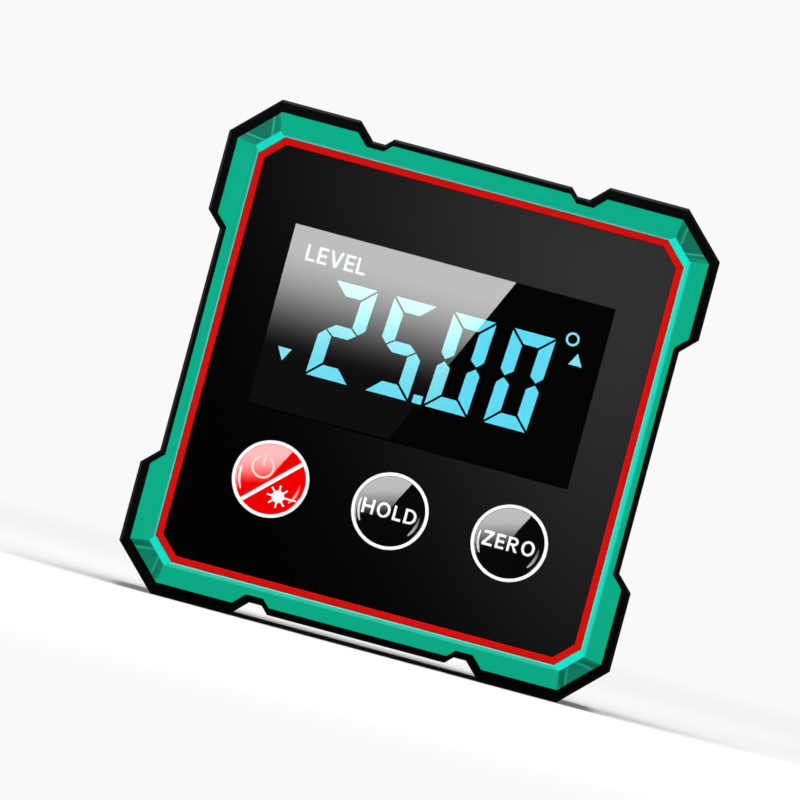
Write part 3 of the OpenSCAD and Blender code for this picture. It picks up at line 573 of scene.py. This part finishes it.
def filled(loops):
    """A flat mesh, in X and Y, of outlines with holes."""
    curve = bpy.data.curves.new("outline", "CURVE")
    curve.dimensions = "2D"
    curve.fill_mode = "BOTH"
    for loop in loops:
        spline = curve.splines.new("POLY")
        spline.points.add(len(loop) - 1)
        for point, (x, y) in zip(spline.points, loop):
            point.co = (x, y, 0, 1)
        spline.use_cyclic_u = True
    holder = bpy.data.objects.new("outline", curve)
    bpy.context.scene.collection.objects.link(holder)
    bpy.context.view_layer.update()
    mesh = bpy.data.meshes.new_from_object(holder.evaluated_get(bpy.context.evaluated_depsgraph_get()))
    bpy.data.objects.remove(holder)
    bpy.data.curves.remove(curve)
    shape = bmesh.new()
    shape.from_mesh(mesh)
    bpy.data.meshes.remove(mesh)
    bmesh.ops.remove_doubles(shape, verts=shape.verts, dist=1e-5)
    return shape


def cut_into_cells(shape, size):
    """Cuts a flat mesh along a square grid, so that it can bend."""
    for axis in (0, 1):
        values = [v.co[axis] for v in shape.verts]
        line = math.ceil(min(values) / size) * size
        while line < max(values):
            normal = Vector((1, 0, 0)) if axis == 0 else Vector((0, 1, 0))
            geometry = shape.verts[:] + shape.edges[:] + shape.faces[:]
            bmesh.ops.bisect_plane(shape, geom=geometry, plane_co=normal * line, plane_no=normal, dist=1e-6)
            line += size


def inlay(name, loops, surface, thickness, material, body=ROOT):
    """A thin piece on the face. surface gives the depth, in metres, of the face at a point in millimetres."""
    shape = filled(loops)
    if surface.bends:
        cut_into_cells(shape, BEND_CELL)
    for vert in shape.verts:
        x, y = vert.co.x, vert.co.y
        vert.co = Vector((x * MM, surface(x, y), MID_Z + y * MM))
    raised = bmesh.ops.extrude_face_region(shape, geom=shape.faces[:])
    lifted = [item for item in raised["geom"] if isinstance(item, bmesh.types.BMVert)]
    bmesh.ops.translate(shape, verts=lifted, vec=(0, -thickness * MM, 0))
    bmesh.ops.recalc_face_normals(shape, faces=shape.faces)
    mesh = bpy.data.meshes.new(name)
    shape.to_mesh(mesh)
    shape.free()
    piece = bpy.data.objects.new(name, mesh)
    bpy.context.scene.collection.objects.link(piece)
    mesh.materials.append(material)
    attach(piece, body)
    return piece


class Flat:
    """A flat face at one depth."""
    bends = False

    def __init__(self, depth):
        self.depth = depth

    def __call__(self, x, y):
        return self.depth


class Dome:
    """The domed face of a button, a cap of a sphere."""
    bends = True

    def __init__(self, button):
        low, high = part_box(button)
        self.x = (low.x + high.x) / 2 / MM
        self.y = ((low.z + high.z) / 2 - MID_Z) / MM
        self.top = low.y

    def __call__(self, x, y):
        away = math.hypot(x - self.x, y - self.y)
        drop = DOME_SPHERE - math.sqrt(DOME_SPHERE ** 2 - away ** 2)
        return self.top + drop * MM


# Letters, drawn on a cap height of 1

def letter_loops(letter, t):
    """The outlines of one plain capital with strokes t thick, and its width."""
    mid_low, mid_high = 0.5 - t / 2, 0.5 + t / 2
    if letter == "L":
        w = 0.58
        return [[(0, 0), (w, 0), (w, t), (t, t), (t, 1), (0, 1)]], w
    if letter == "E":
        w = 0.60
        return [[(0, 0), (w, 0), (w, t), (t, t), (t, mid_low), (w - 0.04, mid_low), (w - 0.04, mid_high),
                 (t, mid_high), (t, 1 - t), (w, 1 - t), (w, 1), (0, 1)]], w
    if letter == "V":
        w = 0.82
        top, foot, crotch = 1.12 * t, 0.58 * t, 1.7 * t
        return [[(0, 1), (w / 2 - foot, 0), (w / 2 + foot, 0), (w, 1),
                 (w - top, 1), (w / 2, crotch), (top, 1)]], w
    if letter == "H":
        w = 0.80
        return [[(0, 0), (t, 0), (t, mid_low), (w - t, mid_low), (w - t, 0), (w, 0), (w, 1), (w - t, 1),
                 (w - t, mid_high), (t, mid_high), (t, 1), (0, 1)]], w
    if letter == "O":
        w = 0.92
        outer = arc(w / 2, 0.5, w / 2, 0.515, 0, 360, 36)[:-1]
        inner = arc(w / 2, 0.5, w / 2 - t * 1.05, 0.515 - t * 0.9, 0, 360, 36)[:-1]
        return [outer, inner], w
    if letter == "D":
        w = 0.82
        outer = [(0, 0)] + arc(w - 0.48, 0.5, 0.48, 0.5, -90, 90, 24) + [(0, 1)]
        bowl = arc(w - 0.48, 0.5, 0.48 - t * 1.05, 0.5 - t * 0.9, -90, 90, 24)
        inner = [(t, t * 0.9)] + bowl + [(t, 1 - t * 0.9)]
        return [outer, inner], w
    if letter == "Z":
        w = 0.70
        run = 1.3 * t
        return [[(0, 0), (w, 0), (w, t), (run, t), (w, 1 - t * 0.95), (w, 1), (0.02, 1), (0.02, 1 - t),
                 (w - run, 1 - t), (0, t * 0.95)]], w
    if letter == "R":
        w = 0.76
        bowl = arc(0.40, 0.71, 0.31, 0.29, -78, 90, 18)
        inside = arc(0.40, 0.71, 0.31 - t, 0.29 - t * 0.9, -90, 90, 18)
        hole = [(t, 0.42 + t * 0.9)] + inside + [(t, 1 - t * 0.9)]
        leg = [(0, 1), (0, 0), (t, 0), (t, 0.42), (0.30, 0.42), (w - 1.25 * t, 0), (w, 0)]
        return [leg + bowl, hole], w
    raise ValueError(letter)


def word_loops(word, left, base, width, cap, stroke):
    """The outlines of a word between two sides, with its letters evenly spaced."""
    t = stroke / cap
    glyphs = [letter_loops(letter, t) for letter in word]
    gap = (width / cap - sum(w for _, w in glyphs)) / (len(glyphs) - 1)
    placed, pen = [], left
    for loops, w in glyphs:
        placed += [[(pen + x * cap, base + y * cap) for x, y in loop] for loop in loops]
        pen += (w + gap) * cap
    return placed


# The display

# The digits, in millimetres: their size, spacing and strokes, the gaps between segments, and where the first
# stands. The lean is a step sideways for each step up.
DIGIT_W, DIGIT_H, DIGIT_PITCH, DIGIT_STROKE = 5.2, 11.66, 7.25, 1.57
DIGIT_GAP = 0.13
DIGIT_LEFT, DIGIT_BASE = -13.9, -0.40
DIGIT_LEAN = math.tan(math.radians(3.2))
SEGMENTS_ON = {"2": "abged", "5": "afgcd", "0": "abcdef"}


def segment(which):
    """The outline of one segment of a digit, upright, from the digit's lower left corner."""
    w, h, t, g = DIGIT_W, DIGIT_H, DIGIT_STROKE, DIGIT_GAP
    mid = h / 2
    half = t * 0.44
    if which == "a":
        return [(g, h), (w - g, h), (w - t - g, h - t), (t + g, h - t)]
    if which == "d":
        return [(t + g, t), (w - t - g, t), (w - g, 0), (g, 0)]
    if which == "g":
        tip = t * 0.45 + g
        return [(tip, mid), (t + g, mid + half), (w - t - g, mid + half), (w - tip, mid),
                (w - t - g, mid - half), (t + g, mid - half)]
    upper_left = [(0, h - 2 * g), (t, h - t - 2 * g), (t, mid + half + g),
                  (t * 0.45, mid + g), (0, mid + t * 0.45 + g)]
    flip_x = which in "bc"
    flip_y = which in "ec"
    return [((w - x if flip_x else x), (h - y if flip_y else y)) for x, y in upper_left]


def digit_loops(digit, left):
    """The outlines of one digit's lit segments, leaning as they do on the display."""
    loops = []
    for which in SEGMENTS_ON[digit]:
        loops.append([(left + x + y * DIGIT_LEAN, DIGIT_BASE + y) for x, y in segment(which)])
    return loops


def add_display():
    """The lit segments, words and signs on the display glass."""
    face = Flat(DISPLAY_FRONT)
    thickness = 0.05
    reading = "2500"
    digits = []
    for i, digit in enumerate(reading):
        digits += digit_loops(digit, DIGIT_LEFT + i * DIGIT_PITCH)
    shown = {
        "display_digits": digits,
        "display_point": [[(-0.9, -0.4), (0.22, -0.4), (0.27, 0.62), (-0.85, 0.62)]],
        "display_degree": ring(15.57, 11.74, 0.82, 0.56),
        "display_arrow_up": [[(15.8, 8.78), (17.42, 8.78), (16.61, 10.25)]],
        "display_arrow_down": [[(-17.8, 1.95), (-16.16, 1.95), (-16.98, 0.42)]],
        "display_level": word_loops("LEVEL", -17.47, 12.57, 7.31, 1.98, 0.33),
    }
    lights = {"display_digits": SEGMENT_CYAN, "display_point": SEGMENT_CYAN, "display_level": SEGMENT_WHITE}
    for name, loops in shown.items():
        piece = inlay(name, loops, face, thickness, lights.get(name, SEGMENT_PALE))
        # The segments are bright because the window is smoked. They light nothing round them.
        piece.visible_diffuse = False
        piece.visible_glossy = False


add_display()


# The buttons' signs

def power_sign(cx, cy, radius, stroke):
    """A broken ring, open at the top, and the bar in its gap."""
    outer, inner = radius + stroke / 2, radius - stroke / 2
    broken = arc(cx, cy, outer, outer, 120, 420, 44) + arc(cx, cy, inner, inner, 420, 120, 44)
    return [broken], [bar((cx, cy + 0.15 * radius), (cx, cy + 1.3 * radius), stroke)]


def burst_sign(cx, cy, radius, reach, stroke, beam):
    """A laser burst: a disc with short rays, and one long ray to the right."""
    pieces = []
    count = 8
    for i in range(count):
        angle = 2 * math.pi * i / count
        far = beam if i == 0 else reach
        near = radius * 0.8
        pieces.append(bar((cx + near * math.cos(angle), cy + near * math.sin(angle)),
                          (cx + far * math.cos(angle), cy + far * math.sin(angle)), stroke))
    return [arc(cx, cy, radius, radius, 0, 360, 28)[:-1]], pieces


def add_button_signs():
    """The words and signs printed on the buttons."""
    depth = 0.03
    # The words' cap height and stroke, and how far below a button's middle they stand
    cap, stroke, low = 1.76, 0.31, 0.92
    power, hold, zero = (Dome(f"{name}_button") for name in ("power", "hold", "zero"))
    hold_word = word_loops("HOLD", hold.x - 3.32, hold.y - low, 6.55, cap, stroke)
    inlay("hold_sign", hold_word, hold, depth, PRINT_WHITE, "hold_key")
    zero_word = word_loops("ZERO", zero.x - 3.2, zero.y - low, 6.3, cap, stroke)
    inlay("zero_sign", zero_word, zero, depth, PRINT_WHITE, "zero_key")
    cx, cy = power.x, power.y
    slash = chord(cx, cy, DOME_R + 0.06, 44.2, -0.34, 0.46)
    inlay("power_slash", [slash], power, depth, PRINT_WHITE, "power_key")
    broken, stem = power_sign(cx - 1.22, cy + 1.18, 1.25, 0.26)
    inlay("power_ring", broken, power, depth, PRINT_CREAM, "power_key")
    inlay("power_bar", stem, power, depth, PRINT_CREAM, "power_key")
    disc, rays = burst_sign(cx + 1.37, cy - 1.78, 0.75, 1.34, 0.2, 2.2)
    inlay("laser_disc", disc, power, depth, PRINT_WHITE, "power_key")
    # The rays lie a little lower than the disc, so that they don't share its face
    for i, ray in enumerate(rays):
        inlay(f"laser_ray_{i + 1}", [ray], power, depth * 0.9, PRINT_WHITE, "power_key")


add_button_signs()


# Camera, rolled so that the gauge leans as it does in the photograph

def add_camera():
    """The camera, straight ahead of the gauge at the photograph's scale and lean."""
    data = bpy.data.cameras.new("camera")
    data.lens = LENS_MM
    data.sensor_width = SENSOR_MM
    camera = bpy.data.objects.new("camera", data)
    bpy.context.scene.collection.objects.link(camera)
    metres_per_px = (cad_high.x - cad_low.x) / BODY_PX
    distance = IMAGE_PX * metres_per_px * LENS_MM / SENSOR_MM
    right = Vector((math.cos(LEAN), 0, math.sin(LEAN)))
    up = Vector((-math.sin(LEAN), 0, math.cos(LEAN)))
    off_right = (MIDDLE_PX[0] - IMAGE_PX / 2) * metres_per_px
    off_up = (IMAGE_PX / 2 - MIDDLE_PX[1]) * metres_per_px
    aim = Vector((0, RIM_FRONT, MID_Z)) - right * off_right - up * off_up
    place = aim - Vector((0, distance, 0))
    back = Vector((0, -1, 0))
    camera.matrix_world = Matrix((
        (right.x, up.x, back.x, place.x),
        (right.y, up.y, back.y, place.y),
        (right.z, up.z, back.z, place.z),
        (0, 0, 0, 1),
    ))
    data.clip_start = 0.01
    data.clip_end = 20
    bpy.context.scene.camera = camera
    return camera


camera = add_camera()


# Stage and light

STAGE = []
# The level of the background, of which 1 is white
BACKGROUND = 0.95
# The world's light on matt surfaces
AMBIENT = 0.10
# Where the first card's plane lies, and the step from one to the next, in metres
CARD_PLANE, CARD_STEP = -0.32, 0.01


def floor_material():
    """Pale and matt. Far from the gauge the camera sees it as white as the world behind it."""
    pale = (0.86, 0.86, 0.86)
    # Distances from the origin, in metres, between which it turns white
    near, far_off = 0.10, 0.45
    material, tree, shader = new_material("floor_pale")
    material.cycles.emission_sampling = "NONE"
    shader.inputs["Roughness"].default_value = 0.9
    shader.inputs["Specular IOR Level"].default_value = 0.1
    tone = mixed(tree, spread(tree, noise(tree, 40.0, 4.0), 0, 1), shade(pale, 0.985), pale)
    tree.links.new(tone, shader.inputs["Base Color"])
    coords = tree.nodes.new("ShaderNodeTexCoord")
    away = tree.nodes.new("ShaderNodeVectorMath")
    away.operation = "LENGTH"
    tree.links.new(coords.outputs["Object"], away.inputs[0])
    far = spread(tree, away.outputs["Value"], 0.0, 1.0, near, far_off, True)
    rays = tree.nodes.new("ShaderNodeLightPath")
    white = tree.nodes.new("ShaderNodeEmission")
    white.inputs["Strength"].default_value = BACKGROUND
    either = tree.nodes.new("ShaderNodeMixShader")
    tree.links.new(calc(tree, "MULTIPLY", far, rays.outputs["Is Camera Ray"]), either.inputs["Fac"])
    tree.links.new(shader.outputs["BSDF"], either.inputs[1])
    tree.links.new(white.outputs["Emission"], either.inputs[2])
    tree.links.new(either.outputs["Shader"], tree.nodes["Material Output"].inputs["Surface"])
    return material


def add_stage():
    """A wide pale floor, a hair below the gauge's feet."""
    half, sink = 6.0, 0.00002
    corners = [(-half, -half, -sink), (half, -half, -sink), (half, half, -sink), (-half, half, -sink)]
    mesh = bpy.data.meshes.new("floor")
    mesh.from_pydata(corners, [], [(0, 1, 2, 3)])
    floor = bpy.data.objects.new("floor", mesh)
    bpy.context.scene.collection.objects.link(floor)
    mesh.materials.append(floor_material())
    floor.visible_glossy = False
    STAGE.append(floor)


def add_area(name, place, target, size, power):
    """A square lamp that the camera doesn't see."""
    data = bpy.data.lights.new(name, "AREA")
    data.shape = "SQUARE"
    data.size = size
    data.energy = power
    lamp = bpy.data.objects.new(name, data)
    bpy.context.scene.collection.objects.link(lamp)
    lamp.location = place
    lamp.rotation_euler = (Vector(target) - Vector(place)).to_track_quat("-Z", "Y").to_euler()
    lamp.visible_camera = False
    return lamp


def add_world():
    """Weak light from all round, and a white background."""
    world = bpy.data.worlds.new("studio")
    bpy.context.scene.world = world
    world.use_nodes = True
    tree = world.node_tree
    background = tree.nodes["Background"]
    background.inputs["Color"].default_value = (1, 1, 1, 1)
    rays = tree.nodes.new("ShaderNodeLightPath")
    coords = tree.nodes.new("ShaderNodeTexCoord")
    split = tree.nodes.new("ShaderNodeSeparateXYZ")
    tree.links.new(coords.outputs["Generated"], split.inputs["Vector"])
    # Mirror images: dark ahead of the face, so that little but the cards shows there, and brighter elsewhere
    ahead, elsewhere = 0.003, 0.40
    seen = spread(tree, split.outputs["Y"], ahead, elsewhere, -0.10, 0.30)
    glossy = rays.outputs["Is Glossy Ray"]
    strength = calc(tree, "ADD", calc(tree, "MULTIPLY", glossy, seen),
                    spread(tree, glossy, AMBIENT, 0.0, 0.0, 1.0))
    shown = calc(tree, "MULTIPLY", rays.outputs["Is Camera Ray"], BACKGROUND - AMBIENT)
    strength = calc(tree, "ADD", strength, shown)
    tree.links.new(strength, background.inputs["Strength"])


def mirrored(point, normal, plane):
    """Where the camera, looking at a mirror at a point of the face, meets a card's plane."""
    view = (point - camera.location).normalized()
    ray = view - 2 * view.dot(normal) * normal
    return point + ray * ((plane - point.y) / ray.y)


def in_window(x, y, plane):
    """The card's place for a point of the flat window, in millimetres on the face."""
    return mirrored(Vector((x * MM, WINDOW_FRONT, MID_Z + y * MM)), Vector((0, -1, 0)), plane)


def in_dome(dome):
    """The same for a button, whose points are measured from its middle."""
    def place(x, y, plane):
        point = Vector(((dome.x + x) * MM, dome(dome.x + x, dome.y + y), MID_Z + (dome.y + y) * MM))
        depth = math.sqrt(DOME_SPHERE ** 2 - x ** 2 - y ** 2)
        return mirrored(point, Vector((x, -depth, y)) / DOME_SPHERE, plane)
    return place


def add_card(name, receivers, place, loop, level, fade=None, power=1.0, rest=0.0):
    """A lit card for some pieces alone, cut so that its mirror image on them has the shape of the loop.

    fade is two points of the face: the light falls from full at the first to the rest of it at the second.
    A power above 1 makes it fall sooner."""
    # Each card has a plane of its own, so that none lies in another
    plane = CARD_PLANE - CARD_STEP * len(STAGE)
    corners = [place(x, y, plane) for x, y in loop]
    mesh = bpy.data.meshes.new(name)
    mesh.from_pydata([tuple(c) for c in corners], [], [tuple(range(len(corners)))])
    card = bpy.data.objects.new(name, mesh)
    bpy.context.scene.collection.objects.link(card)
    material = bpy.data.materials.new(name)
    material.cycles.emission_sampling = "NONE"
    material.use_nodes = True
    tree = material.node_tree
    tree.nodes.clear()
    output = tree.nodes.new("ShaderNodeOutputMaterial")
    emission = tree.nodes.new("ShaderNodeEmission")
    emission.inputs["Strength"].default_value = level
    if fade:
        full, none = (place(x, y, plane) for x, y in fade)
        way = full - none
        coords = tree.nodes.new("ShaderNodeTexCoord")
        dot = tree.nodes.new("ShaderNodeVectorMath")
        dot.operation = "DOT_PRODUCT"
        dot.inputs[1].default_value = way / way.length_squared
        tree.links.new(coords.outputs["Object"], dot.inputs[0])
        start = none.dot(way) / way.length_squared
        share = spread(tree, dot.outputs["Value"], rest, 1.0, start, start + 1.0, True)
        value = calc(tree, "MULTIPLY", calc(tree, "POWER", share, power), level)
        tree.links.new(value, emission.inputs["Strength"])
    # The card adds its light and lets the ray go on, so that cards don't hide one another
    through = tree.nodes.new("ShaderNodeBsdfTransparent")
    both = tree.nodes.new("ShaderNodeAddShader")
    tree.links.new(emission.outputs[0], both.inputs[0])
    tree.links.new(through.outputs[0], both.inputs[1])
    tree.links.new(both.outputs[0], output.inputs["Surface"])
    mesh.materials.append(material)
    card.visible_camera = False
    card.visible_diffuse = False
    card.visible_shadow = False
    group = bpy.data.collections.new(name)
    for piece in receivers:
        group.objects.link(piece)
    card.light_linking.receiver_collection = group
    STAGE.append(card)


def crescent(inner, outer, start, end, steps=20):
    """An arc that tapers to both ends, between two radii at its middle."""
    mid = (inner + outer) / 2
    front, back = [], []
    for i in range(steps + 1):
        angle = math.radians(start + (end - start) * i / steps)
        half = (outer - inner) / 2 * math.sin(math.pi * i / steps) ** 0.4
        front.append(((mid + half) * math.cos(angle), (mid + half) * math.sin(angle)))
        back.append(((mid - half) * math.cos(angle), (mid - half) * math.sin(angle)))
    return front + back[-2:0:-1]


def add_cards():
    """The gloss on the window and on each button."""
    window_level, gloss_level, left_level, right_level = 7.4, 12.8, 18.0, 11.0
    # The window's gloss lies to the left of its slanting edge, and goes on past the window's top and left
    (x0, y0), (x1, y1) = GLOSS_EDGE
    over, far_left = 1.5, -22
    window_loop = [(x0, y0), (x1, y1), (x1 + over * 0.45, y1 + over), (far_left, y1 + over), (far_left, y0)]
    add_card("window_gloss", [NODES["display_window"]], in_window, window_loop, window_level,
             ((-4, 14.2), (-4, 1.3)), 1.35, 0.025)
    # A button's gloss, and the reflections along its left and right
    gloss_loop = [(-0.75, -1.5), (0.03, 0.38), (0.50, 1.53)] + arc(0, 0, 4.3, 4.3, 66, 205, 30)
    low_end, high_end = arc(0, 0, 3.6, 3.6, -34, 6, 1)
    for key in ("power", "hold", "zero"):
        prints = [piece for piece in bpy.data.objects if piece.name in (f"{key}_sign", f"{key}_slash")]
        receivers = [CAPS[key]] + prints
        place = in_dome(Dome(f"{key}_button"))
        add_card(f"{key}_gloss", receivers, place, gloss_loop, gloss_level, ((-0.6, 2.95), (0.3, -0.5)))
        add_card(f"{key}_arc_left", receivers, place, crescent(3.58, 3.87, 168, 212), left_level)
        add_card(f"{key}_arc_right", receivers, place, crescent(3.38, 3.70, -40, 4), right_level,
                 (low_end, high_end), 1.0, 0.12)


def add_panel_card():
    """A soft glow for the panel, strongest at the upper right."""
    level, half = 1.05, 30
    loop = [(-half, -half), (half, -half), (half, half), (-half, half)]
    add_card("panel_glow", [NODES["front_panel"]], in_window, loop, level, ((24, 25), (-24, -17)), 2.0)


add_stage()
add_world()
add_cards()
add_panel_card()
# Lamps: place and target in metres, size in metres, power in watts
middle = (0, 0, MID_Z)
add_area("key_left", (-0.55, -0.60, 0.30), middle, 0.40, 3.5)
add_area("key_right", (0.60, -0.55, 0.40), middle, 0.40, 2.8)
add_area("top", (0.0, -0.20, 0.75), middle, 0.5, 2.4)
add_area("rim_left", (-0.60, -0.03, 0.06), middle, 0.25, 1.2)
back_lights = [
    add_area("back_left", (-0.45, 0.38, 0.16), middle, 0.4, 9.0),
    add_area("back_right", (0.50, 0.36, 0.14), middle, 0.4, 7.0),
]
# The lamps behind light the gauge alone
gauge = bpy.data.collections.new("gauge")
for piece in [piece for piece in bpy.data.objects if piece.type == "MESH" and piece not in STAGE]:
    gauge.objects.link(piece)
for lamp in back_lights:
    lamp.light_linking.receiver_collection = gauge
    lamp.visible_glossy = False
add_area("floor_lamp", (0.0, 0.0, 1.3), (0, 0.5, 0.2), 0.8, 10.0)

bpy.context.scene.view_settings.view_transform = "Standard"
